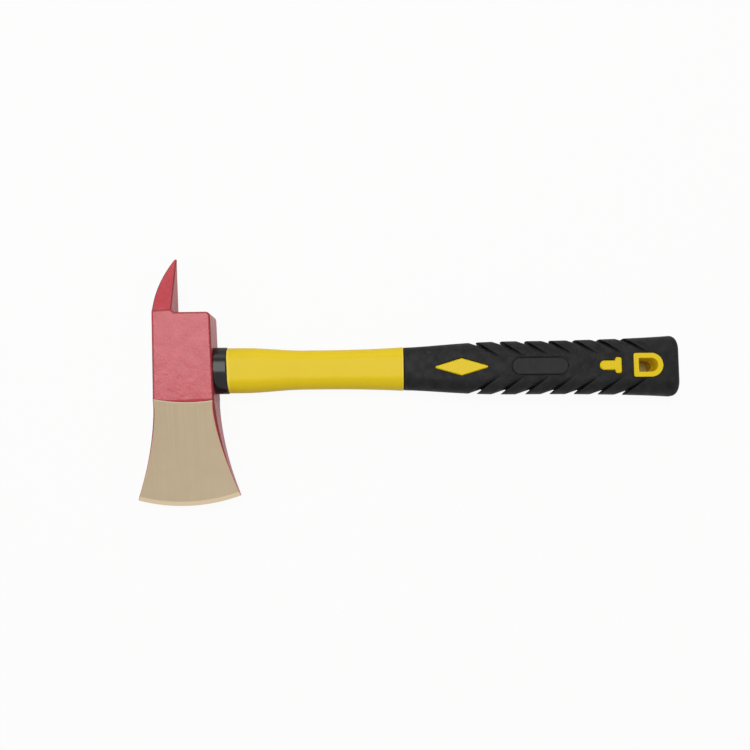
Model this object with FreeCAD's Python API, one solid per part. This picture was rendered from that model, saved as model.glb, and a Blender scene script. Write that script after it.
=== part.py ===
import FreeCAD, Part
import math
import os

# A small pick-head fire axe, lying on its cheek.
# The handle runs along +X towards the butt, the pick points along +Y and the thickness is along +Z.
# X = 0 and Y = 0 are on the handle's axis, at the middle of the head, and Z = 0 is the surface
# that the axe lies on. All sizes are in millimetres, and angles are in degrees.

# Head, across the painted surfaces
head_thickness = 28.0
paint_thickness = 0.25
hang_angle = 2.3
block_width_top = 42.4
block_width_bottom = 43.8
block_top = 42.4
block_corner_radius = 3.2
cheek_edge_radius = 1.6

# Blade, with a curved cutting edge
flare_start = 14.0
wedge_start = 22.0
blade_reach = 99.0
edge_width = 75.0
edge_bow = 5.7
edge_flat = 0.4
bevel_length = 3.2
bevel_thickness = 4.2
grind_line_drop = 23.7
grind_line_skew = -3.7
grind_step = 0.3
grind_allowance = 0.45
edge_allowance = 1.0
blade_edge_softness = 0.3
blade_softening_length = 12.0

# Pick, tapered to a point on the side away from the cutting edge
pick_reach = 84.2
pick_foot_rise = 2.4
pick_curve_drop = 1.9
pick_inner_offset = 7.1
pick_tip_offset = 4.7
pick_tip_width = 1.0
pick_tip_thickness = 1.8
pick_base_recess = 0.7
pick_edge_radius = 1.5
pick_edge_width_share = 0.3
pick_edge_thickness_share = 0.45
pick_root_radius = 3.7

# The blade and the pick start a little inside the block, and a hair within its sides
root_overlap = 0.8
root_inset = 0.06

# Eye, an hourglass oval through the head along the handle
eye_mouth_height = 31.0
eye_mouth_thickness = 19.5
eye_waist_height = 27.0
eye_waist_thickness = 16.5
eye_corner_share = 0.48
eye_stations = (-1.3, -1.0, -0.5, 0.0, 0.5, 1.0, 1.3)

# Glass fibre core
core_height = 22.0
core_thickness = 12.0
core_corner_radius = 5.4
core_end = 316.0

# Rubber collar between the head and the handle's jacket
collar_width = 9.9
collar_height = 34.6
collar_thickness = 24.0
collar_corner_radius = 10.6
collar_edge_radius = 1.0
collar_fit = 0.15

# Yellow jacket: it swells at the head, has a waist, and swells again towards the grip
jacket_head_height = 33.3
jacket_head_thickness = 23.0
jacket_swell_end = 43.0
jacket_waist_start = 88.0
jacket_waist_end = 105.0
jacket_waist_height = 28.9
jacket_waist_thickness = 20.6
jacket_end_height = 32.2
jacket_end_thickness = 23.6
jacket_lip_radius = 0.9
jacket_corner_share = 0.88
jacket_run_in = 3.0

# The jacket's tang, which runs on inside the grip
tang_height = 27.0
tang_thickness = 16.6
tang_corner_radius = 7.0
tang_end = 354.5

# Black grip
grip_start = 161.5
grip_start_height = 31.4
grip_start_thickness = 23.2
grip_palm = 219.0
grip_palm_height = 38.2
grip_palm_thickness = 26.2
grip_tail = 297.0
grip_tail_height = 40.2
grip_tail_thickness = 26.6
grip_end = 362.4
grip_end_height = 45.4
grip_end_thickness = 27.9
grip_tail_bulge = 0.45
grip_shoulder_share = 0.83
grip_lip_radius = 0.6
butt_edge_radius = 4.8

# Sawtooth notches along both edges of the grip, which run inwards as chevrons
notch_first = 215.4
notch_pitch = 18.0
notch_count = 7
notch_depth = 4.2
notch_ramp = 7.0
notch_slant = 36.0
notch_start_height = 0.1
notch_side_depth = 0.075
notch_inner_margin = 0.5

# Oval panel moulded on the grip's faces
panel_start = 240.5
panel_length = 40.3
panel_height = 11.9
panel_rise = 0.4
panel_groove_width = 0.8
panel_groove_depth = 0.6

# Diamond inlays
diamond_centre = 203.5
diamond_length = 42.8
diamond_height = 12.7
diamond_tip_radius = 0.9
diamond_side_radius = 1.5

# Tee inlays, with a round-nosed stem
tee_nose = 303.9
tee_stem_height = 7.0
tee_bar_start = 315.1
tee_bar_width = 4.8
tee_bar_height = 11.8
tee_bar_corner = 1.7

# Hanging eyelet, a D-shaped sleeve right through the grip
eyelet_start = 328.5
eyelet_length = 21.2
eyelet_height = 17.3
eyelet_wall = 3.5
eyelet_corner = 1.3
eyelet_draft = 0.5
eyelet_step = 0.35

# Fits between the inlays, the eyelet and their windows
inlay_gap = 0.35
eyelet_gap = 0.2
inlay_rise = 0.15
inlay_bevel = 0.7

# Largest corner radius of an oval, as a share of half its height or thickness
largest_corner_share = 0.98

# Sizes that follow from those above
middle = head_thickness / 2.0
pick_base_height = block_top + pick_foot_rise
pick_curve_start = block_top - pick_curve_drop
half_metal = middle - paint_thickness
edge_radius = ((edge_width / 2.0) ** 2 + edge_bow ** 2) / (2.0 * edge_bow)
side_slope = (block_width_bottom - block_width_top) / 2.0 / (block_top + wedge_start)
side_tilt = math.degrees(math.atan(side_slope))
cut_margin = 60.0

origin = FreeCAD.Vector(0, 0, 0)
y_axis = FreeCAD.Vector(0, 1, 0)
z_axis = FreeCAD.Vector(0, 0, 1)


def point(x, y, z=0.0):
    return FreeCAD.Vector(x, y, z)


def line(a, b):
    return Part.makeLine(a, b)


def arc(a, b, c):
    return Part.Arc(a, b, c).toShape()


def tangent_arc(start, direction, end):
    """An arc that leaves start along direction and stops at end."""
    span = end - start
    along = direction.normalize()
    normal = span - along * span.dot(along)
    radius = span.dot(span) / (2.0 * normal.Length)
    centre = start + normal.normalize() * radius
    towards = (start - centre) + (end - centre)
    return arc(start, centre + towards.normalize() * radius, end)


def rounded_corner(before, corner, after, radius):
    """Two tangent points and the middle of the round between them."""
    back = (before - corner).normalize()
    ahead = (after - corner).normalize()
    half_angle = back.getAngle(ahead) / 2.0
    reach = radius / math.tan(half_angle)
    bisector = (back + ahead).normalize()
    middle_point = corner + bisector * (radius / math.sin(half_angle) - radius)
    return corner + back * reach, middle_point, corner + ahead * reach


def oval_wire(x, height, thickness, corner):
    """A rounded rectangle across the handle, centred on the middle of the axe's thickness."""
    a = height / 2.0
    b = thickness / 2.0
    r = min(corner, a * largest_corner_share, b * largest_corner_share)
    bend = r * (1.0 - math.sqrt(0.5))
    edges = []
    for sy, sz in ((1, 1), (-1, 1), (-1, -1), (1, -1)):
        start = point(x, sy * a, middle + sz * (b - r))
        mid = point(x, sy * (a - bend), middle + sz * (b - bend))
        end = point(x, sy * (a - r), middle + sz * b)
        edges.append((start, mid, end) if sy * sz > 0 else (end, mid, start))
    shapes = []
    for index, (start, mid, end) in enumerate(edges):
        following = edges[(index + 1) % 4][0]
        shapes.append(arc(start, mid, end))
        shapes.append(line(end, following))
    return Part.Wire(shapes)


def loft(wires, ruled=False):
    return Part.makeLoft(wires, True, ruled)


def beyond_plane(x, tilt):
    """A large box that starts at X = x on the handle's axis and lies on the butt's side of it."""
    size = 4.0 * grip_end
    box = Part.makeBox(size, size, size, point(0, -size / 2.0, -size / 2.0))
    box.rotate(origin, z_axis, tilt)
    box.translate(point(x, 0, 0))
    return box


def export(shape, name):
    shape.exportStep(os.path.join("parts", name + ".step"))


# Head

def half_width(v):
    """Half the head's width, v millimetres from the eye towards the pick."""
    width = block_width_top / 2.0 + side_slope * (block_top - v)
    if v < -flare_start:
        start = point(half_width(-flare_start), -flare_start)
        corner = point(edge_width / 2.0, edge_bow - blade_reach)
        along = point(side_slope, -1.0).normalize()
        span = corner - start
        offset = (span - along * span.dot(along)).Length
        radius = span.dot(span) / (2.0 * offset)
        run = -flare_start - v
        width += radius - math.sqrt(radius ** 2 - run ** 2)
    return width


def top_line(u):
    """The block's top is square to the handle, so it slopes in the head's own frame."""
    slope = math.tan(math.radians(hang_angle))
    return block_top - u * slope


def pick_outer(v):
    """Distance from the head's middle to the outer curve of the pick."""
    start = point(-half_width(pick_curve_start), pick_curve_start)
    tip = point(-pick_tip_offset - pick_tip_width, pick_reach)
    along = point(side_slope, 1.0).normalize()
    span = tip - start
    radius = span.dot(span) / (2.0 * (span - along * span.dot(along)).Length)
    run = max(v - pick_curve_start, 0.0)
    return half_width(v) - radius + math.sqrt(radius ** 2 - run ** 2)


def pick_inner(v):
    share = (v - pick_base_height) / (pick_reach - pick_base_height)
    return pick_inner_offset + (pick_tip_offset - pick_inner_offset) * share


def block_shape(skin):
    """The block with the foot of the pick, as a plate with rounded cheek edges."""
    low = -wedge_start
    knee = -flare_start
    between = (low + knee) / 2.0
    right = [point(half_width(v) + skin, v) for v in (low, between, knee)]
    left = [point(-half_width(v) - skin, v) for v in (low, between, knee)]
    corner = point(half_width(block_top) + skin, top_line(half_width(block_top)) + skin)
    crest = pick_base_height + skin
    root = point(-pick_inner_offset + pick_root_radius + skin, top_line(0.0) + skin)
    notch = point(-pick_inner(crest) + skin, crest)
    outer = point(-pick_outer(crest) - skin, crest)
    turn = point(-pick_outer(pick_curve_start) - skin, pick_curve_start)
    bend = (pick_curve_start + crest) / 2.0
    first, corner_middle, last = rounded_corner(right[2], corner, root, block_corner_radius + skin)
    edges = [
        line(left[0], right[0]),
        arc(right[0], right[1], right[2]),
        line(right[2], first),
        arc(first, corner_middle, last),
        line(last, root),
        tangent_arc(root, root - last, notch),
        line(notch, outer),
        arc(outer, point(-pick_outer(bend) - skin, bend), turn),
        line(turn, left[2]),
        arc(left[2], left[1], left[0]),
    ]
    half = half_metal + skin
    outline = Part.Face(Part.Wire(edges))
    outline.translate(point(0, 0, -half))
    plate = outline.extrude(point(0, 0, 2.0 * half))
    cheek_edges = []
    for edge in plate.Edges:
        box = edge.BoundBox
        on_cheek = box.ZLength < 1e-6
        at_joint = box.YMax < low + 1e-3
        if on_cheek and not at_joint:
            cheek_edges.append(edge)
    return plate.makeFillet(cheek_edge_radius + skin, cheek_edges)


def head_section(v, left, right, half, corner):
    """A rounded rectangle across the head at height v, from left to right."""
    wire = oval_wire(0, right - left, 2.0 * half, corner)
    wire.translate(point(0, 0, -middle))
    wire.rotate(origin, z_axis, 90)
    wire.translate(point((left + right) / 2.0, v, 0))
    return wire


def cast_half(v):
    """Half the blade's thickness as cast, v millimetres from the eye towards the pick."""
    end_half = bevel_thickness / 2.0 + grind_allowance
    slope = (half_metal - end_half) / (blade_reach - bevel_length - wedge_start)
    run = -v - wedge_start + root_overlap
    return half_metal - root_inset - slope * run


def blade_shape(skin):
    """The blade as cast, thicker than the finished one by what is ground off its faces."""
    low = blade_reach + edge_allowance
    start = wedge_start - root_overlap
    steps = 8
    sections = []
    for step in range(steps + 1):
        run = (low - start) * step / steps
        v = -start - run
        half = cast_half(v)
        share = min(run / blade_softening_length, 1.0)
        corner = cheek_edge_radius + (blade_edge_softness * half - cheek_edge_radius) * share
        width = half_width(v) - root_inset + skin
        sections.append(head_section(v, -width, width, half + skin, corner + skin))
    return loft(sections)


def pick_shape(skin):
    """The pick, a four-sided taper that is curved on its outer side."""
    foot = pick_base_height - root_overlap
    base_half = half_metal - pick_base_recess
    tip_half = pick_tip_thickness / 2.0
    steps = 6
    sections = []
    for step in range(steps + 1):
        share = step / steps
        v = foot + (pick_reach - foot) * share
        half = base_half + (tip_half - base_half) * share
        left = -pick_outer(v) + root_inset - skin
        right = -pick_inner(v) + skin
        corner = min(
            pick_edge_radius, (right - left) * pick_edge_width_share,
            half * pick_edge_thickness_share)
        sections.append(head_section(
            v + skin * share, left, right, half + skin, corner + skin / 2.0))
    return loft(sections)


def head_shape(skin):
    """The whole head without its eye, grown outwards by skin, in the frame of the axe."""
    shape = block_shape(skin).fuse([blade_shape(skin), pick_shape(skin)])
    shape.rotate(origin, z_axis, hang_angle)
    shape.translate(point(0, 0, middle))
    return shape


def grinding_body():
    """What grinding leaves: two faces that run down to the cutting edge, and its bevels."""
    reach = cut_margin
    high = pick_reach + cut_margin
    rise = edge_radius - math.sqrt(edge_radius ** 2 - reach ** 2)
    clear = middle + paint_thickness + 1.0
    bevel_line = blade_reach - bevel_length
    ground_half = cast_half(-grind_line_drop) - grind_step
    levels = [
        (edge_flat / 2.0, blade_reach, 0.0),
        (bevel_thickness / 2.0, bevel_line, 0.0),
        (ground_half, grind_line_drop, grind_line_skew),
        (clear, grind_line_drop, grind_line_skew),
    ]
    wires = []
    for side in (-1, 1):
        for z, drop, skew in (reversed(levels) if side < 0 else levels):
            bow = arc(point(-reach, rise), point(0, 0), point(reach, rise))
            bow.rotate(origin, z_axis, skew)
            bow.translate(point(0, -drop, side * z))
            ends = [vertex.Point for vertex in bow.Vertexes]
            top_right = point(reach, high, side * z)
            top_left = point(-reach, high, side * z)
            edges = [bow, line(ends[1], top_right), line(top_right, top_left), line(top_left, ends[0])]
            wires.append(Part.Wire(edges))
    body = loft(wires, ruled=True)
    body.rotate(origin, z_axis, hang_angle)
    body.translate(point(0, 0, middle))
    return body


def eye_shape():
    """The hourglass hole through the head, long enough to pass both faces."""
    half = block_width_bottom / 2.0
    flare_height = eye_mouth_height - eye_waist_height
    flare_thickness = eye_mouth_thickness - eye_waist_thickness
    wires = []
    for station in eye_stations:
        x = station * half
        share = min(abs(station), 1.0) ** 2
        height = eye_waist_height + flare_height * share
        thickness = eye_waist_thickness + flare_thickness * share
        wires.append(oval_wire(x, height, thickness, thickness * eye_corner_share))
    return loft(wires, ruled=True)


def core_shape():
    length = core_end + cut_margin
    wire = oval_wire(-cut_margin, core_height, core_thickness, core_corner_radius)
    return Part.Face(wire).extrude(point(length, 0, 0))


metal_form = head_shape(0.0)
painted_form = head_shape(paint_thickness)
ground_form = grinding_body()
eye = eye_shape()
core_bar = core_shape()
face_x = half_width(0.0) + paint_thickness
seam_tilt = hang_angle + side_tilt
collar_end = face_x + collar_width
behind_head = beyond_plane(0.0, 0.0)


def head_casting():
    return metal_form.common(ground_form).cut(eye)


def red_paint_coat():
    skin = painted_form.cut(metal_form)
    return skin.common(ground_form).cut(eye)


def glass_fibre_core():
    in_head = core_bar.common(painted_form).cut(behind_head)
    in_handle = core_bar.common(behind_head)
    return in_head.fuse(in_handle).removeSplitter()


def eye_resin():
    return eye.common(painted_form).cut(core_bar)


# Collar and jacket

def collar_ring():
    wire = oval_wire(0.0, collar_height, collar_thickness, collar_corner_radius)
    ring = Part.Face(wire).extrude(point(2.0 * collar_end, 0, 0))
    ring = ring.cut(beyond_plane(collar_end, seam_tilt))
    rim = [edge for edge in ring.Edges if edge.BoundBox.XMin > collar_end - collar_width / 2.0]
    ring = ring.makeFillet(collar_edge_radius, rim)
    bore_wire = oval_wire(
        -1.0, core_height + 2.0 * collar_fit, core_thickness + 2.0 * collar_fit,
        core_corner_radius + collar_fit)
    bore = Part.Face(bore_wire).extrude(point(3.0 * collar_end, 0, 0))
    return ring.cut(bore).cut(painted_form)


def ease(share):
    """A smooth step from 0 to 1."""
    return share * share * (3.0 - 2.0 * share)


def jacket_size(x, head_size, waist_size, end_size):
    """The jacket's height or thickness at x."""
    if x < jacket_swell_end:
        return head_size
    if x < jacket_waist_start:
        share = (x - jacket_swell_end) / (jacket_waist_start - jacket_swell_end)
        return head_size + (waist_size - head_size) * ease(share)
    if x < jacket_waist_end:
        return waist_size
    share = (x - jacket_waist_end) / (grip_start - jacket_waist_end)
    return waist_size + (end_size - waist_size) * share ** 2


def jacket_body():
    start = collar_end - jacket_run_in
    steps = 16
    wires = []
    for step in range(steps + 1):
        x = start + (grip_start - start) * step / steps
        height = jacket_size(x, jacket_head_height, jacket_waist_height, jacket_end_height)
        thickness = jacket_size(
            x, jacket_head_thickness, jacket_waist_thickness, jacket_end_thickness)
        wires.append(oval_wire(x, height, thickness, jacket_corner_share * thickness / 2.0))
    body = loft(wires).common(beyond_plane(collar_end, seam_tilt))
    at_head = collar_end + jacket_run_in
    at_grip = grip_start - jacket_lip_radius / 2.0
    rims = []
    for edge in body.Edges:
        box = edge.BoundBox
        if box.XMax < at_head or box.XMin > at_grip:
            rims.append(edge)
    return body.makeFillet(jacket_lip_radius, rims)


def tang_body(grow=0.0):
    wire = oval_wire(
        grip_start - 1.0, tang_height + 2.0 * grow, tang_thickness + 2.0 * grow,
        tang_corner_radius + grow)
    return Part.Face(wire).extrude(point(tang_end + grow - grip_start + 1.0, 0, 0))


def yellow_jacket():
    return jacket_body().fuse(tang_body()).cut(core_bar).cut(eyelet_prism(eyelet_gap))


# Grip

grip_stations = [
    (grip_start, grip_start_height, grip_start_thickness),
    ((grip_start + grip_palm) / 2.0, (grip_start_height + grip_palm_height) / 2.0,
     (grip_start_thickness + grip_palm_thickness) / 2.0),
    (grip_palm, grip_palm_height, grip_palm_thickness),
    ((grip_palm + grip_tail) / 2.0, (grip_palm_height + grip_tail_height) / 2.0,
     (grip_palm_thickness + grip_tail_thickness) / 2.0),
    (grip_tail, grip_tail_height, grip_tail_thickness),
    ((grip_tail + grip_end) / 2.0,
     (grip_tail_height + grip_end_height) / 2.0 - 2.0 * grip_tail_bulge,
     (grip_tail_thickness + grip_end_thickness) / 2.0),
    (grip_end, grip_end_height, grip_end_thickness),
]


def grip_size(x, which):
    """The grip's height (1) or thickness (2) at x, on straight lines between its stations."""
    for first, second in zip(grip_stations, grip_stations[1:]):
        if x <= second[0]:
            share = (x - first[0]) / (second[0] - first[0])
            return first[which] + (second[which] - first[which]) * share
    return grip_stations[-1][which]


def grip_body(swell=0.0):
    """The grip's outer form without notches, grown by swell."""
    wires = []
    for x, height, thickness in grip_stations:
        corner = grip_shoulder_share * thickness / 2.0
        wires.append(oval_wire(x, height + 2.0 * swell, thickness + 2.0 * swell, corner + swell))
    body = loft(wires)
    rim = [edge for edge in body.Edges if edge.BoundBox.XMin > grip_end - 1.0]
    body = body.makeFillet(butt_edge_radius, rim)
    lip = [edge for edge in body.Edges if edge.BoundBox.XMax < grip_start + grip_lip_radius]
    return body.makeFillet(grip_lip_radius, lip)


def notch_cutter(x, side):
    """One sawtooth groove: a ramp down to a wall at x, sheared so that it runs in as a chevron."""
    height = grip_size(x, 1)
    thickness = grip_size(x + 2.0 * notch_ramp, 2) + 2.0 * notch_side_depth
    corner = grip_shoulder_share * thickness / 2.0
    floor_wires = [
        oval_wire(-notch_ramp, height + 2.0 * notch_start_height, thickness, corner),
        oval_wire(0.0, height - 2.0 * notch_depth, thickness, corner),
    ]
    floor = loft(floor_wires, ruled=True)
    inner = height / 2.0 - notch_depth - corner - notch_inner_margin
    band = Part.makeBox(
        notch_ramp, height, 3.0 * middle, point(-notch_ramp, inner, -middle / 2.0))
    tool = band.cut(floor)
    slant = 1.0 / math.tan(math.radians(notch_slant))
    shear = FreeCAD.Matrix()
    shear.A12 = -slant
    shear.A14 = x + slant * height / 2.0
    tool = tool.transformGeometry(shear)
    return tool if side > 0 else tool.mirror(origin, y_axis)


def prism(wire, low, high):
    """A straight prism over an outline in plan, from low to high."""
    face = Part.Face(wire)
    face.translate(point(0, 0, low))
    return face.extrude(point(0, 0, high - low))


def slot_wire(start, end, height):
    """A straight slot with round ends."""
    r = height / 2.0
    return Part.Wire([
        line(point(start + r, -r), point(end - r, -r)),
        arc(point(end - r, -r), point(end, 0), point(end - r, r)),
        line(point(end - r, r), point(start + r, r)),
        arc(point(start + r, r), point(start, 0), point(start + r, -r)),
    ])


def diamond_wire(grow=0.0):
    """A diamond with rounded corners."""
    half_length = diamond_length / 2.0
    half_height = diamond_height / 2.0
    tip = grow * math.hypot(half_length, half_height) / half_height
    vertex = grow * math.hypot(half_length, half_height) / half_length
    corners = [
        point(diamond_centre - half_length - tip, 0),
        point(diamond_centre, -half_height - vertex),
        point(diamond_centre + half_length + tip, 0),
        point(diamond_centre, half_height + vertex),
    ]
    rounds = []
    for index, corner in enumerate(corners):
        radius = (diamond_side_radius if index % 2 else diamond_tip_radius) + grow
        rounds.append(rounded_corner(corners[index - 1], corner, corners[(index + 1) % 4], radius))
    edges = []
    for index, (start, middle_point, end) in enumerate(rounds):
        edges.append(arc(start, middle_point, end))
        edges.append(line(end, rounds[(index + 1) % 4][0]))
    return Part.Wire(edges)


def tee_wire(grow=0.0):
    nose = tee_nose - grow
    r = tee_stem_height / 2.0 + grow
    start = tee_bar_start - grow
    end = tee_bar_start + tee_bar_width + grow
    half = tee_bar_height / 2.0 + grow
    c = tee_bar_corner + grow
    bend = c * (1.0 - math.sqrt(0.5))
    edges = [arc(point(nose + r, r), point(nose, 0), point(nose + r, -r))]
    edges.append(line(point(nose + r, -r), point(start, -r)))
    edges.append(line(point(start, -r), point(start, -half + c)))
    edges.append(arc(
        point(start, -half + c), point(start + bend, -half + bend), point(start + c, -half)))
    edges.append(line(point(start + c, -half), point(end - c, -half)))
    edges.append(arc(point(end - c, -half), point(end - bend, -half + bend), point(end, -half + c)))
    edges.append(line(point(end, -half + c), point(end, half - c)))
    edges.append(arc(point(end, half - c), point(end - bend, half - bend), point(end - c, half)))
    edges.append(line(point(end - c, half), point(start + c, half)))
    edges.append(arc(point(start + c, half), point(start + bend, half - bend), point(start, half - c)))
    edges.append(line(point(start, half - c), point(start, r)))
    edges.append(line(point(start, r), point(nose + r, r)))
    return Part.Wire(edges)


def dee_wire(inset):
    """A D with its round side towards the butt, inset from the eyelet's outline."""
    start = eyelet_start + inset
    end = eyelet_start + eyelet_length - inset
    r = eyelet_height / 2.0 - inset
    c = max(eyelet_corner - inset * 0.25, 0.5)
    bend = c * (1.0 - math.sqrt(0.5))
    return Part.Wire([
        arc(point(start, -r + c), point(start + bend, -r + bend), point(start + c, -r)),
        line(point(start + c, -r), point(end - r, -r)),
        arc(point(end - r, -r), point(end, 0), point(end - r, r)),
        line(point(end - r, r), point(start + c, r)),
        arc(point(start + c, r), point(start + bend, r - bend), point(start, r - c)),
        line(point(start, r - c), point(start, -r + c)),
    ])


def eyelet_prism(grow=0.0):
    return prism(dee_wire(-grow), -middle, 3.0 * middle)


def inlay(wire, side):
    """A plate that stands on the tang and fills its window, with a bevelled rim."""
    seat = tang_thickness / 2.0
    if side > 0:
        column = prism(wire, middle + seat, 3.0 * middle)
    else:
        column = prism(wire, -middle, middle - seat)
    plate = column.common(grip_body(inlay_rise))
    outer = middle + side * (grip_start_thickness / 2.0 - 1.0)
    rim = [edge for edge in plate.Edges if side * (edge.BoundBox.Center.z - outer) > 0
           and edge.BoundBox.ZLength < 1.0]
    return plate.makeChamfer(inlay_bevel, rim)


def hang_eyelet():
    top = middle + grip_end_thickness / 2.0 + 1.0
    low = middle - grip_end_thickness / 2.0 - 1.0
    sleeve = prism(dee_wire(0.0), low, top).common(grip_body(inlay_rise))
    waist = eyelet_wall + eyelet_draft
    halves = []
    for far, waist_inset in ((top, waist), (low, waist + eyelet_step)):
        mouth = dee_wire(eyelet_wall)
        mouth.translate(point(0, 0, far))
        neck = dee_wire(waist_inset)
        neck.translate(point(0, 0, middle))
        halves.append(loft([neck, mouth], ruled=True))
    return sleeve.cut(halves)


def rubber_grip():
    body = grip_body()
    panel_end = panel_start + panel_length
    panel = prism(slot_wire(panel_start, panel_end, panel_height), -middle, 3.0 * middle)
    raised = panel.common(grip_body(panel_rise))
    surround_wire = slot_wire(
        panel_start - panel_groove_width, panel_end + panel_groove_width,
        panel_height + 2.0 * panel_groove_width)
    surround = prism(surround_wire, -middle, 3.0 * middle)
    groove = surround.cut(panel).cut(grip_body(-panel_groove_depth))
    cutters = []
    for index in range(notch_count):
        x = notch_first + index * notch_pitch
        for side in (1, -1):
            cutters.append(notch_cutter(x, side))
    body = body.cut(cutters + [groove]).fuse(raised)
    windows = [tang_body(), eyelet_prism(eyelet_gap)]
    for side_low, side_high in ((middle, 3.0 * middle), (-middle, middle)):
        windows.append(prism(diamond_wire(inlay_gap), side_low, side_high))
        windows.append(prism(tee_wire(inlay_gap), side_low, side_high))
    return body.cut(windows)


os.makedirs("parts", exist_ok=True)
export(head_casting(), "head_casting")
export(red_paint_coat(), "red_paint_coat")
export(eye_resin(), "eye_resin")
export(glass_fibre_core(), "glass_fibre_core")
export(collar_ring(), "collar_ring")
export(yellow_jacket(), "yellow_jacket")
export(rubber_grip(), "rubber_grip")
export(hang_eyelet(), "hang_eyelet")
for name, side in (("front", 1), ("back", -1)):
    export(inlay(diamond_wire(), side), "diamond_inlay_" + name)
    export(inlay(tee_wire(), side), "tee_inlay_" + name)
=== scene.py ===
import bmesh
import bpy
import math
from mathutils import Matrix, Vector


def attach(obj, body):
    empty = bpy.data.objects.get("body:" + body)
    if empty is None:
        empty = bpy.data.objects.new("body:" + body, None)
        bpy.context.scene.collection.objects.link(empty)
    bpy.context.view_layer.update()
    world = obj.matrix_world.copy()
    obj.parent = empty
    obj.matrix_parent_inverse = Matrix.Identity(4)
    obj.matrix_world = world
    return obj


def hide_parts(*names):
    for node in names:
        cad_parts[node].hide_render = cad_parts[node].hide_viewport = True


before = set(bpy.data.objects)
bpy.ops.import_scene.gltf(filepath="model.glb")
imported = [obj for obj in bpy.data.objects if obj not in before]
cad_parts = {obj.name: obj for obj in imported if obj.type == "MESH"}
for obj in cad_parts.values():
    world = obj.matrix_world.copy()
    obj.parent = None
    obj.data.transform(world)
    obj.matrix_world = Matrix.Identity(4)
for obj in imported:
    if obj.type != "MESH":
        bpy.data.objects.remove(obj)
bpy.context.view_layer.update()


# Camera
# It looks down on the axe from about 0.65 m, from a little on the blade's side, and is
# turned so that the handle lies level across the picture.
camera_target = Vector((0.1402, -0.0042, 0.014))
camera_distance = 0.6455
camera_lean = math.radians(5.2)
camera_roll = math.radians(-0.6)

camera_data = bpy.data.cameras.new("camera")
camera_data.lens = 41.76
camera_data.sensor_width = 36.0
camera_data.clip_start = 0.01
camera_data.clip_end = 50.0
camera = bpy.data.objects.new("camera", camera_data)
bpy.context.scene.collection.objects.link(camera)
away = Vector((0.0, -math.sin(camera_lean), math.cos(camera_lean)))
level = Vector((1.0, 0.0, 0.0))
upward = away.cross(level)
turned_right = math.cos(camera_roll) * level + math.sin(camera_roll) * upward
turned_up = math.cos(camera_roll) * upward - math.sin(camera_roll) * level
turn = Matrix((turned_right, turned_up, away)).transposed()
camera.matrix_world = Matrix.Translation(camera_target + camera_distance * away) @ turn.to_4x4()
bpy.context.scene.camera = camera
bpy.context.scene.view_settings.view_transform = "Standard"


# Light and floor
# A large soft box hangs over the axe and a weaker one stands on the pick's side. The floor is
# white to the camera and clear from below. Where it shows through the hanging hole it is tan, a
# painted shade for floor lit only by light off the hole's yellow walls.
full_white = (1.0, 1.0, 1.0, 1.0)
sky_level = 0.5
head_side_share = 1.4
butt_side_share = 0.6
floor_half = 4.0
floor_middle = 0.15
floor_drop = 0.0002
floor_whiteness = 0.94
whiteness_in_gloss = 0.4
floor_grey = (0.72, 0.72, 0.72)
painted_shade_under_hole = (0.80, 0.64, 0.25)
hole_centre = (0.3391, 0.0, 0.0)
hole_patch_radius = 0.012
hole_patch_blur = 0.006


def soft_box(name, place, aim, width, height, radiance):
    data = bpy.data.lights.new(name, "AREA")
    data.shape = "RECTANGLE"
    data.size = width
    data.size_y = height
    data.energy = radiance * math.pi * width * height
    box = bpy.data.objects.new(name, data)
    box.location = place
    box.rotation_euler = (Vector(aim) - Vector(place)).to_track_quat("-Z", "Y").to_euler()
    bpy.context.scene.collection.objects.link(box)


soft_box("overhead_box", (-0.05, 0.29, 1.30), (-0.05, 0.05, 0.0), 1.1, 0.56, 4.0)
soft_box("side_box", (0.15, 1.30, 0.70), (0.15, 0.0, 0.0), 1.4, 0.7, 1.0)


def add_node(tree, kind, values=None, **settings):
    """A node with its settings, and its sockets linked or set."""
    node = tree.nodes.new(kind)
    for setting, value in settings.items():
        setattr(node, setting, value)
    for socket, value in (values or {}).items():
        if isinstance(value, bpy.types.NodeSocket):
            tree.links.new(value, node.inputs[socket])
        else:
            node.inputs[socket].default_value = value
    return node


def calc(tree, operation, first, second=0.0, clamp=False):
    """The result of an operation on one or two numbers."""
    node = add_node(
        tree, "ShaderNodeMath", {0: first, 1: second}, operation=operation, use_clamp=clamp)
    return node.outputs[0]


def vector_calc(tree, operation, first, second=(0.0, 0.0, 0.0)):
    """The result of an operation on one or two vectors, a number or a vector."""
    node = add_node(tree, "ShaderNodeVectorMath", {0: first, 1: second}, operation=operation)
    gives_number = operation in ("DISTANCE", "LENGTH", "DOT_PRODUCT")
    return node.outputs["Value" if gives_number else "Vector"]


def remap(tree, value, low, high, start=0.0, end=1.0):
    """start where value is at low or beyond it, end where it is at high, and even between."""
    node = add_node(tree, "ShaderNodeMapRange", {
        "Value": value, "From Min": low, "From Max": high, "To Min": start, "To Max": end})
    return node.outputs["Result"]


def parts_of(tree, vector):
    """The X, Y and Z of a vector."""
    return add_node(tree, "ShaderNodeSeparateXYZ", {0: vector}).outputs


def mix_colours(tree, factor, first, second):
    """A colour between first and second, each a socket or three numbers."""
    mix = tree.nodes.new("ShaderNodeMix")
    mix.data_type = "RGBA"
    for index, value in ((0, factor), (6, first), (7, second)):
        if isinstance(value, bpy.types.NodeSocket):
            tree.links.new(value, mix.inputs[index])
        elif index:
            mix.inputs[index].default_value = (*value, 1.0)
        else:
            mix.inputs[index].default_value = value
    return mix.outputs[2]


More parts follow.
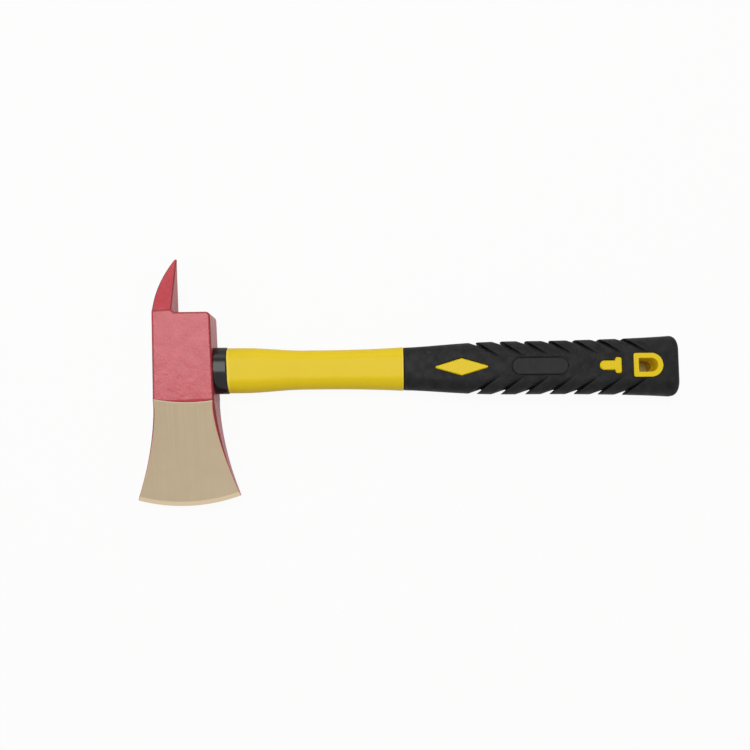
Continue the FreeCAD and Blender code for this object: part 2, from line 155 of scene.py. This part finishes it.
def seen_directly(tree, in_reflections=1.0):
    """1 for the camera's rays, and in_reflections for those of gloss and of glass."""
    path = add_node(tree, "ShaderNodeLightPath").outputs
    bent = calc(tree, "MAXIMUM", path["Is Glossy Ray"], path["Is Transmission Ray"])
    weaker = calc(tree, "MULTIPLY", bent, in_reflections)
    return calc(tree, "MAXIMUM", weaker, path["Is Camera Ray"])


world = bpy.data.worlds.new("studio")
world.use_nodes = True
bpy.context.scene.world = world
sky = world.node_tree
sky.nodes.clear()
looking = parts_of(sky, add_node(sky, "ShaderNodeTexCoord").outputs["Generated"])
on_surfaces = remap(
    sky, looking["X"], -1.0, 1.0, head_side_share * sky_level, butt_side_share * sky_level)
strength = remap(sky, seen_directly(sky), 0.0, 1.0, on_surfaces, 1.0)
background = add_node(sky, "ShaderNodeBackground", {"Color": full_white, "Strength": strength})
add_node(sky, "ShaderNodeOutputWorld", {"Surface": background.outputs[0]})

form = bmesh.new()
bmesh.ops.create_grid(form, x_segments=1, y_segments=1, size=floor_half)
bmesh.ops.translate(form, verts=form.verts, vec=(floor_middle, 0.0, -floor_drop))
floor_mesh = bpy.data.meshes.new("floor")
form.to_mesh(floor_mesh)
form.free()
floor = bpy.data.objects.new("floor", floor_mesh)
bpy.context.scene.collection.objects.link(floor)

floor_material = bpy.data.materials.new("pale_floor")
floor_material.use_nodes = True
ground = floor_material.node_tree
ground.nodes.clear()
ground_place = add_node(ground, "ShaderNodeTexCoord").outputs["Object"]
clear_of_hole = remap(
    ground, vector_calc(ground, "DISTANCE", ground_place, hole_centre),
    hole_patch_radius, hole_patch_radius + hole_patch_blur, 0.0, floor_whiteness)
whiteness = calc(ground, "MULTIPLY", clear_of_hole, seen_directly(ground, whiteness_in_gloss))
# Under the hanging hole the floor takes a tan painted shade.
tint = mix_colours(ground, clear_of_hole, painted_shade_under_hole, floor_grey)
matt = add_node(ground, "ShaderNodeBsdfDiffuse", {"Color": tint})
white = add_node(ground, "ShaderNodeEmission", {"Color": full_white, "Strength": 1.0})
seen_from_above = add_node(ground, "ShaderNodeMixShader", {
    0: whiteness, 1: matt.outputs[0], 2: white.outputs[0]})
from_below = add_node(ground, "ShaderNodeNewGeometry").outputs["Backfacing"]
clear = add_node(ground, "ShaderNodeBsdfTransparent")
one_sided = add_node(ground, "ShaderNodeMixShader", {
    0: from_below, 1: seen_from_above.outputs[0], 2: clear.outputs[0]})
add_node(ground, "ShaderNodeOutputMaterial", {"Surface": one_sided.outputs[0]})
floor_mesh.materials.append(floor_material)


# Bronze head
# The head is cast in one piece from a non-sparking aluminium bronze. The blade's faces are
# ground along their length. A thin paler line just below the paint is a painted highlight on
# the ground step's edge, and the honed bevel at the cutting edge is painted lighter, a painted
# highlight for the light it reflects.
hang_angle = math.radians(2.3)
edge_radius = 0.1262
bevel_centre = (0.0, 0.0304, 0.0)
paint_line_centre = (0.00814, 0.10224, 0.0)
highlight_line_width = 0.0008
blade_start = -0.020
blade_end = -0.085
streaks_per_metre = (620.0, 9.0, 40.0)
scratches_per_metre = (2100.0, 30.0, 60.0)
bronze_low = (0.415, 0.333, 0.225)
bronze_high = (0.455, 0.368, 0.253)
bronze_streak = (0.420, 0.338, 0.228)
dark_bronze_low = (0.350, 0.282, 0.186)
dark_bronze_high = (0.392, 0.320, 0.216)
bronze_painted_highlight = (0.50, 0.38, 0.28)
bronze_bevel_highlight = (0.69, 0.565, 0.39)
streak_contrast = (0.32, 0.68)
scratch_contrast = (0.3, 0.7)
bronze_roughness = (0.38, 0.52)
head_sharp_angle = 18.0


def apply_modifiers(piece):
    """The piece's mesh becomes what its modifiers make of it."""
    made = bpy.data.meshes.new_from_object(
        piece.evaluated_get(bpy.context.evaluated_depsgraph_get()))
    piece.modifiers.clear()
    piece.data = made


def joined_copy(node, name, sharp_angle=35.0, cell=0.0, rounds=0, keep=1.0):
    """A copy of a CAD node with its triangles joined and its rounded faces shaded smooth.
    With a cell size, it gets an even mesh of such cells, softened in some rounds and thinned
    to the share of its triangles that it is to keep."""
    form = bmesh.new()
    form.from_mesh(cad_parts[node].data)
    bmesh.ops.remove_doubles(form, verts=form.verts, dist=1e-6)
    for face in form.faces:
        face.smooth = True
    limit = math.radians(sharp_angle)
    for edge in form.edges:
        edge.smooth = len(edge.link_faces) == 2 and edge.calc_face_angle(0.0) < limit
    mesh = bpy.data.meshes.new(name)
    form.to_mesh(mesh)
    form.free()
    piece = bpy.data.objects.new(name, mesh)
    bpy.context.scene.collection.objects.link(piece)
    if cell:
        evened = piece.modifiers.new("even_cells", "REMESH")
        evened.mode = "VOXEL"
        evened.voxel_size = cell
        evened.use_smooth_shade = True
        softened = piece.modifiers.new("soft_edges", "SMOOTH")
        softened.factor = 0.5
        softened.iterations = rounds
        if keep < 1.0:
            thinned = piece.modifiers.new("fewer_triangles", "DECIMATE")
            thinned.ratio = keep
        apply_modifiers(piece)
    else:
        even = piece.modifiers.new("even_normals", "WEIGHTED_NORMAL")
        even.mode = "FACE_AREA_WITH_ANGLE"
        even.weight = 60
        even.keep_sharp = True
    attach(piece, "root")
    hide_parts(node)
    return piece


def node_group(name, inputs, output):
    """An empty shader node group: an input without a number is a vector, and the output is
    a number."""
    group = bpy.data.node_groups.new(name, "ShaderNodeTree")
    for socket, value in inputs.items():
        kind = "NodeSocketVector" if value is None else "NodeSocketFloat"
        made = group.interface.new_socket(name=socket, in_out="INPUT", socket_type=kind)
        if value is not None:
            made.default_value = value
    group.interface.new_socket(name=output, in_out="OUTPUT", socket_type="NodeSocketFloat")
    given = add_node(group, "NodeGroupInput").outputs
    result = add_node(group, "NodeGroupOutput").inputs[output]
    return group, given, result


def place_group(tree, group, values):
    """A node group placed in a material, with its sockets linked or set, and its output."""
    node = tree.nodes.new("ShaderNodeGroup")
    node.node_tree = group
    for socket, value in values.items():
        if isinstance(value, bpy.types.NodeSocket):
            tree.links.new(value, node.inputs[socket])
        else:
            node.inputs[socket].default_value = value
    return node.outputs[0]


def noise(tree, place, scale, detail, roughness):
    """A noise texture, about 0 to 1."""
    node = add_node(tree, "ShaderNodeTexNoise", {
        "Vector": place, "Scale": scale, "Detail": detail, "Roughness": roughness})
    return node.outputs["Fac"]


def new_finish(name):
    """A material with a Principled BSDF, and its Object coordinates."""
    material = bpy.data.materials.new(name)
    material.use_nodes = True
    tree = material.node_tree
    tree.nodes.clear()
    shader = add_node(tree, "ShaderNodeBsdfPrincipled")
    add_node(tree, "ShaderNodeOutputMaterial", {"Surface": shader.outputs[0]})
    place = add_node(tree, "ShaderNodeTexCoord").outputs["Object"]
    return material, tree, shader, place


def add_bump(tree, shader, height, strength, distance):
    """A bump in the finish, from a height of 0 to 1."""
    bumped = add_node(tree, "ShaderNodeBump", {
        "Strength": strength, "Distance": distance, "Height": height})
    tree.links.new(bumped.outputs[0], shader.inputs["Normal"])


def turned_to_head(tree, place):
    """A place in the head's own frame, whose Y runs up the blade."""
    turned = add_node(tree, "ShaderNodeMapping", {
        "Vector": place, "Rotation": (0.0, 0.0, -hang_angle)}, vector_type="POINT")
    return turned.outputs[0]


# Soft uneven patches, as on anything cast or moulded
mottle, given, result = node_group(
    "mottle", {"Place": None, "Patch Size": 0.02, "Contrast": 1.0}, "Mask")
per_metre = calc(mottle, "DIVIDE", 1.0, given["Patch Size"])
uneven = noise(mottle, given["Place"], per_metre, detail=4.0, roughness=0.55)
centred = calc(mottle, "SUBTRACT", uneven, 0.5)
spread = calc(mottle, "MULTIPLY", centred, given["Contrast"])
mottle.links.new(calc(mottle, "ADD", spread, 0.5, clamp=True), result)

# A fine grain for bump, of two sizes of noise
grain, given, result = node_group(
    "grain", {"Place": None, "Grain Size": 0.001, "Coarse Share": 0.4}, "Height")
coarse_scale_share = 0.22
per_metre = calc(grain, "DIVIDE", 1.0, given["Grain Size"])
fine = noise(grain, given["Place"], per_metre, detail=2.0, roughness=0.5)
coarse_per_metre = calc(grain, "MULTIPLY", per_metre, coarse_scale_share)
coarse = noise(grain, given["Place"], coarse_per_metre, detail=2.0, roughness=0.5)
both = add_node(grain, "ShaderNodeMix", {
    0: given["Coarse Share"], 2: fine, 3: coarse}, data_type="FLOAT")
grain.links.new(both.outputs[0], result)

# How far a place is from a centre, seen from above in the head's own frame
plan_distance, given, result = node_group(
    "plan_distance", {"Place": None, "Centre": None}, "Distance")
flat = vector_calc(
    plan_distance, "MULTIPLY", turned_to_head(plan_distance, given["Place"]), (1.0, 1.0, 0.0))
plan_distance.links.new(vector_calc(plan_distance, "DISTANCE", flat, given["Centre"]), result)

# A band with soft borders: 1 where a value lies between start and end
band, given, result = node_group(
    "band", {"Value": 0.0, "Start": 0.0, "End": 1.0, "Blur": 0.1}, "Mask")
past_start = remap(
    band, given["Value"], calc(band, "SUBTRACT", given["Start"], given["Blur"]),
    calc(band, "ADD", given["Start"], given["Blur"]))
before_end = remap(
    band, given["Value"], calc(band, "ADD", given["End"], given["Blur"]),
    calc(band, "SUBTRACT", given["End"], given["Blur"]))
band.links.new(calc(band, "MULTIPLY", past_start, before_end), result)

bronze, tree, shader, place = new_finish("bronze")
in_head = turned_to_head(tree, place)
patches = place_group(tree, mottle, {"Place": place, "Patch Size": 0.016, "Contrast": 1.8})
streak_place = vector_calc(tree, "MULTIPLY", in_head, streaks_per_metre)
long_streaks = noise(tree, streak_place, scale=1.0, detail=3.0, roughness=0.55)
streaks = remap(tree, long_streaks, *streak_contrast)
brown = mix_colours(tree, patches, bronze_low, bronze_high)
streaked = mix_colours(tree, streaks, bronze_streak, brown)
dark_brown = mix_colours(tree, patches, dark_bronze_low, dark_bronze_high)
darkened = mix_colours(tree, streaks, dark_bronze_low, dark_brown)
towards_paint = remap(tree, parts_of(tree, in_head)["Y"], blade_end, blade_start)
toned = mix_colours(tree, towards_paint, streaked, darkened)
# A thin line just below the paint is painted paler: a painted highlight on the ground step's
# edge.
from_paint_centre = place_group(
    tree, plan_distance, {"Place": place, "Centre": paint_line_centre})
highlight_below_paint = place_group(tree, band, {
    "Value": from_paint_centre, "Start": edge_radius, "End": edge_radius + highlight_line_width,
    "Blur": 0.0002})
lit = mix_colours(tree, highlight_below_paint, toned, bronze_painted_highlight)
# The bevel is painted a lighter bronze: a painted highlight for the light it reflects.
from_bevel_centre = place_group(tree, plan_distance, {"Place": place, "Centre": bevel_centre})
on_bevel = place_group(tree, band, {
    "Value": from_bevel_centre, "Start": edge_radius, "End": 2.0 * edge_radius,
    "Blur": 0.0001})
honed = mix_colours(tree, on_bevel, lit, bronze_bevel_highlight)
tree.links.new(honed, shader.inputs["Base Color"])
scratch_place = vector_calc(tree, "MULTIPLY", in_head, scratches_per_metre)
scratches = noise(tree, scratch_place, scale=1.0, detail=5.0, roughness=0.6)
rough = remap(tree, scratches, *scratch_contrast, *bronze_roughness)
tree.links.new(rough, shader.inputs["Roughness"])
add_bump(tree, shader, scratches, strength=0.35, distance=0.00006)
shader.inputs["Metallic"].default_value = 1.0

head = joined_copy("head_casting", "bronze_head", head_sharp_angle)
head.data.materials.append(bronze)


# Red paint
# A gloss enamel is sprayed on the block, the pick and the sides of the blade. It lies over
# the grain of the sand casting, so its reflections are a little uneven.
red_low = (0.445, 0.022, 0.036)
red_high = (0.550, 0.044, 0.064)
red_painted_shade = (0.25, 0.012, 0.018)
dark_line_width = 0.0006
dark_line_overlap = 0.0003
cheek_fades = (0.93, 0.82)
side_fades = (0.22, 0.42)
red_roughness = (0.27, 0.20)

red_paint, tree, shader, place = new_finish("red_paint")
patches = place_group(tree, mottle, {"Place": place, "Patch Size": 0.009, "Contrast": 1.6})
red = mix_colours(tree, patches, red_low, red_high)
# Rounded edges, found from the surface's slope, and a thin line along the paint's edge are
# painted a darker red: painted shade for edges turned from the soft box and for the ledge where
# the paint ends.
normal = add_node(tree, "ShaderNodeNewGeometry").outputs["Normal"]
upright = parts_of(tree, vector_calc(tree, "ABSOLUTE", normal))["Z"]
off_the_cheek = remap(tree, upright, *cheek_fades)
off_the_side = remap(tree, upright, *side_fades)
on_round = calc(tree, "MULTIPLY", off_the_cheek, off_the_side)
from_paint_centre = place_group(
    tree, plan_distance, {"Place": place, "Centre": paint_line_centre})
at_line = place_group(tree, band, {
    "Value": from_paint_centre, "Start": edge_radius - dark_line_width,
    "End": edge_radius + dark_line_overlap, "Blur": 0.0001})
in_painted_shade = calc(tree, "MAXIMUM", on_round, at_line)
tree.links.new(mix_colours(tree, in_painted_shade, red, red_painted_shade), shader.inputs["Base Color"])
sand = place_group(tree, grain, {"Place": place, "Grain Size": 0.0013, "Coarse Share": 0.7})
add_bump(tree, shader, sand, strength=1.0, distance=0.00030)
tree.links.new(remap(tree, patches, 0.0, 1.0, *red_roughness), shader.inputs["Roughness"])

paint = joined_copy("red_paint_coat", "red_paint_coat_shell")
paint.data.materials.append(red_paint)


# Resin in the eye
# The rod is bonded into the head's hourglass eye with a cast resin, poured from the far
# face, where its dark amber surface shows round the rod's end.
amber_low = (0.085, 0.040, 0.012)
amber_high = (0.160, 0.085, 0.028)

amber, tree, shader, place = new_finish("amber_resin")
patches = place_group(tree, mottle, {"Place": place, "Patch Size": 0.005, "Contrast": 2.2})
tree.links.new(mix_colours(tree, patches, amber_low, amber_high), shader.inputs["Base Color"])
ripple = place_group(tree, grain, {"Place": place, "Grain Size": 0.002, "Coarse Share": 0.7})
add_bump(tree, shader, ripple, strength=0.3, distance=0.0002)
shader.inputs["Roughness"].default_value = 0.18
shader.inputs["Coat Weight"].default_value = 0.5
shader.inputs["Coat Roughness"].default_value = 0.08

resin = joined_copy("eye_resin", "eye_resin_fill")
resin.data.materials.append(amber)


# Glass fibre core
# A pultruded glass fibre rod runs from the eye to just before the hanging hole. Only its
# sawn end shows, with the cut ends of its fibres.
fibres_per_metre = 1900.0
fibre_rim = (0.1, 0.6)
fibre_low = (0.50, 0.45, 0.28)
fibre_high = (0.66, 0.61, 0.42)
between_fibres = (0.38, 0.34, 0.20)

fibre, tree, shader, place = new_finish("glass_fibre")
cells = add_node(tree, "ShaderNodeTexVoronoi", {"Vector": place, "Scale": fibres_per_metre})
from_fibre = cells.outputs["Distance"]
patches = place_group(tree, mottle, {"Place": place, "Patch Size": 0.003, "Contrast": 1.8})
cream = mix_colours(tree, patches, fibre_low, fibre_high)
sawn = mix_colours(tree, remap(tree, from_fibre, *fibre_rim), cream, between_fibres)
tree.links.new(sawn, shader.inputs["Base Color"])
add_bump(tree, shader, from_fibre, strength=0.5, distance=0.0001)
shader.inputs["Roughness"].default_value = 0.65

core = joined_copy("glass_fibre_core", "glass_fibre_rod")
core.data.materials.append(fibre)


# Collar
# A smooth moulded rubber ring closes the joint between the head and the handle. It is
# shinier than the grip, and its two faces are crowned.
axe_middle = 0.014
collar_half_height = 0.0173
collar_crown = 0.35
collar_cell = 0.0004
collar_low = (0.003, 0.003, 0.0033)
collar_high = (0.007, 0.007, 0.0073)
collar_roughness = (0.10, 0.17)

collar_black, tree, shader, place = new_finish("collar_rubber")
patches = place_group(tree, mottle, {"Place": place, "Patch Size": 0.004, "Contrast": 1.8})
tree.links.new(mix_colours(tree, patches, collar_low, collar_high), shader.inputs["Base Color"])
tree.links.new(remap(tree, patches, 0.0, 1.0, *collar_roughness), shader.inputs["Roughness"])
skin = place_group(tree, grain, {"Place": place, "Grain Size": 0.0012, "Coarse Share": 0.6})
add_bump(tree, shader, skin, strength=0.5, distance=0.0001)
shader.inputs["Specular IOR Level"].default_value = 0.34

collar = joined_copy("collar_ring", "collar_sleeve", cell=collar_cell, rounds=1)
for vertex in collar.data.vertices:
    flattening = 1.0 - collar_crown * (vertex.co.y / collar_half_height) ** 2
    vertex.co.z = axe_middle + (vertex.co.z - axe_middle) * flattening
collar.data.materials.append(collar_black)


# Yellow jacket
# The handle's jacket is moulded in one shot over the glass fibre rod, in a satin-gloss yellow
# nylon. It has a rounded lip at the collar and at the grip. The lips are painted paler, a
# painted highlight where they catch the light, and the grip's seam has a thin painted shade.
head_seam = 0.0318
head_seam_tilt = math.radians(3.5)
head_lip_width = 0.0011
grip_seam = 0.1615
grip_lip_width = 0.0009
lip_blur = 0.0006
grip_lip_blur = 0.0005
seam_shade_width = 0.0005
yellow_low = (0.755, 0.545, 0.004)
yellow_high = (0.810, 0.590, 0.008)
yellow_lip_highlight = (0.86, 0.66, 0.07)
seam_painted_shade = (0.040, 0.028, 0.002)
yellow_roughness = (0.33, 0.42)

yellow, tree, shader, place = new_finish("yellow_plastic")
patches = place_group(tree, mottle, {"Place": place, "Patch Size": 0.030, "Contrast": 1.4})
clean = mix_colours(tree, patches, yellow_low, yellow_high)
from_seam = vector_calc(tree, "SUBTRACT", place, (head_seam, 0.0, 0.0))
square_to_seam = (math.cos(head_seam_tilt), math.sin(head_seam_tilt), 0.0)
past_head_seam = vector_calc(tree, "DOT_PRODUCT", from_seam, square_to_seam)
at_head_lip = remap(tree, past_head_seam, head_lip_width + lip_blur, head_lip_width)
along_handle = parts_of(tree, place)["X"]
at_grip_lip = remap(
    tree, along_handle, grip_seam - grip_lip_width - grip_lip_blur, grip_seam - grip_lip_width)
before_tang = calc(tree, "LESS_THAN", along_handle, grip_seam)
grip_lip = calc(tree, "MULTIPLY", at_grip_lip, before_tang)
on_lip = calc(tree, "MAXIMUM", at_head_lip, grip_lip)
# The lips are painted paler: a painted highlight on their rounded edges.
with_lip_highlight = mix_colours(tree, on_lip, clean, yellow_lip_highlight)
# A thin dark band at the grip's seam is painted shade where the grip meets the jacket.
in_seam_shade = place_group(tree, band, {
    "Value": along_handle, "Start": grip_seam - seam_shade_width,
    "End": grip_seam + 2.0 * seam_shade_width, "Blur": 0.0001})
tree.links.new(mix_colours(tree, in_seam_shade, with_lip_highlight, seam_painted_shade), shader.inputs["Base Color"])
tree.links.new(remap(tree, patches, 0.0, 1.0, *yellow_roughness), shader.inputs["Roughness"])
moulded = place_group(tree, grain, {
    "Place": place, "Grain Size": 0.0006, "Coarse Share": 0.35})
add_bump(tree, shader, moulded, strength=0.18, distance=0.00008)
shader.inputs["Specular IOR Level"].default_value = 0.22

jacket = joined_copy("yellow_jacket", "yellow_handle_jacket")
jacket.data.materials.append(yellow)


# Black grip
# A soft rubber is moulded over the tang, with saw-tooth notches along both edges that run
# inwards as chevrons, and a flared butt that stops the hand.
grip_cell = 0.0004
grip_kept_share = 0.25
panel_centre = (0.26065, 0.0, 0.014)
panel_half_straight = 0.0142
panel_radius = 0.00595
panel_blur = 0.0004
groove_start = 0.0005
groove_end = 0.0009
grip_low = (0.0015, 0.0015, 0.0018)
grip_high = (0.0120, 0.0120, 0.0130)
groove_painted_shade = (0.0015, 0.0015, 0.0015)
panel_black = (0.0165, 0.0165, 0.0180)
ridge_painted_highlight = (0.026, 0.026, 0.027)
hollow_painted_shade = (0.0008, 0.0008, 0.0008)
ridge_relief = (0.520, 0.560)
hollow_relief = (0.485, 0.455)
grip_roughness = (0.62, 0.50)

grip_black, tree, shader, place = new_finish("grip_rubber")
patches = place_group(tree, mottle, {"Place": place, "Patch Size": 0.006, "Contrast": 2.6})
black = mix_colours(tree, patches, grip_low, grip_high)
from_panel = parts_of(tree, vector_calc(tree, "SUBTRACT", place, panel_centre))
from_middle = calc(tree, "ABSOLUTE", from_panel["X"])
beyond_straight = calc(tree, "SUBTRACT", from_middle, panel_half_straight)
past_straight = calc(tree, "MAXIMUM", beyond_straight, 0.0)
from_line = add_node(tree, "ShaderNodeCombineXYZ", {0: past_straight, 1: from_panel["Y"]})
panel_distance = vector_calc(tree, "LENGTH", from_line.outputs[0])
# The groove round the panel is painted darker: painted shade in the recess.
in_groove_shade = remap(
    tree, panel_distance, panel_radius + groove_end, panel_radius + groove_start)
with_groove_shade = mix_colours(tree, in_groove_shade, black, groove_painted_shade)
on_panel = remap(tree, panel_distance, panel_radius, panel_radius - panel_blur)
panelled = mix_colours(tree, on_panel, with_groove_shade, panel_black)
# From the mesh's pointiness, the notch crests are painted lighter as a painted highlight and
# the hollows darker as painted shade.
relief = add_node(tree, "ShaderNodeNewGeometry").outputs["Pointiness"]
crests_highlighted = mix_colours(tree, remap(tree, relief, *ridge_relief), panelled, ridge_painted_highlight)
shaded = mix_colours(tree, remap(tree, relief, *hollow_relief), crests_highlighted, hollow_painted_shade)
tree.links.new(shaded, shader.inputs["Base Color"])
tree.links.new(remap(tree, patches, 0.0, 1.0, *grip_roughness), shader.inputs["Roughness"])
spark = place_group(tree, grain, {"Place": place, "Grain Size": 0.0008, "Coarse Share": 0.45})
add_bump(tree, shader, spark, strength=0.8, distance=0.00022)
shader.inputs["Specular IOR Level"].default_value = 0.2

grip = joined_copy("rubber_grip", "black_grip", cell=grip_cell, rounds=1, keep=grip_kept_share)
grip.data.materials.append(grip_black)


# Yellow marks and hanging eyelet
# Bevelled diamonds and tees stand on the tang in windows of the grip, and a D-shaped sleeve
# lines the hanging hole. They are of the jacket's plastic.
mark_sharp_angle = 25.0

for node, name in (
        ("hang_eyelet", "hanging_eyelet"),
        ("diamond_inlay_front", "front_diamond"), ("diamond_inlay_back", "back_diamond"),
        ("tee_inlay_front", "front_tee"), ("tee_inlay_back", "back_tee")):
    mark = joined_copy(node, name, mark_sharp_angle)
    mark.data.materials.append(yellow)
